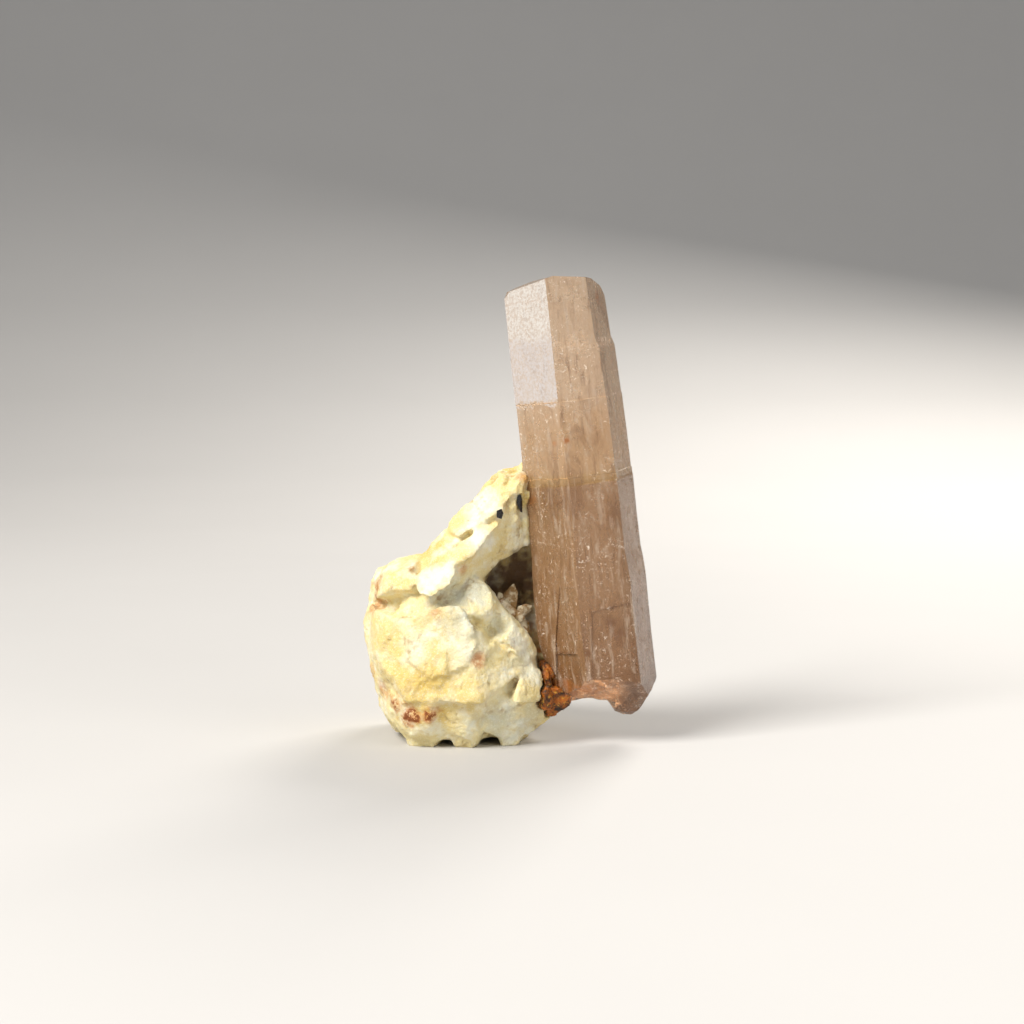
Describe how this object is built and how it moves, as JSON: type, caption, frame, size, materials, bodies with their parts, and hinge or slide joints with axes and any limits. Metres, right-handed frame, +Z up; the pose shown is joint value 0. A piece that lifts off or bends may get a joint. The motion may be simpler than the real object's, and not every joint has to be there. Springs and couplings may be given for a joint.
{
  "type": "apatite crystal on feldspar",
  "caption": "Tall six-sided translucent pinkish-brown apatite crystal standing beside a rough cream feldspar lump, with a slanting blade and a hollow between them.",
  "frame": {"origin": "on the ground, at the middle of the outline seen from above", "axes": "+Z up, the face shown in the picture looks along -Y, +X to its right"},
  "size_m": [0.0316, 0.0238, 0.0498],
  "materials": {
    "apatite": "cloudy, translucent, glossy flat faces",
    "feldspar": "rough, sugary, cleaved",
    "iron_oxide": "rough, earthy to resinous",
    "vug_feldspar": "small bright crystal faces",
    "schorl": "black, glossy"
  },
  "bodies": {
    "root": {"apatite_crystal": "apatite", "feldspar_matrix": "feldspar", "limonite_seam": "iron_oxide", "vug_crystals": "vug_feldspar", "schorl_grain_upper": "schorl", "schorl_grain_lower": "schorl"}
  },
  "joints": []
}
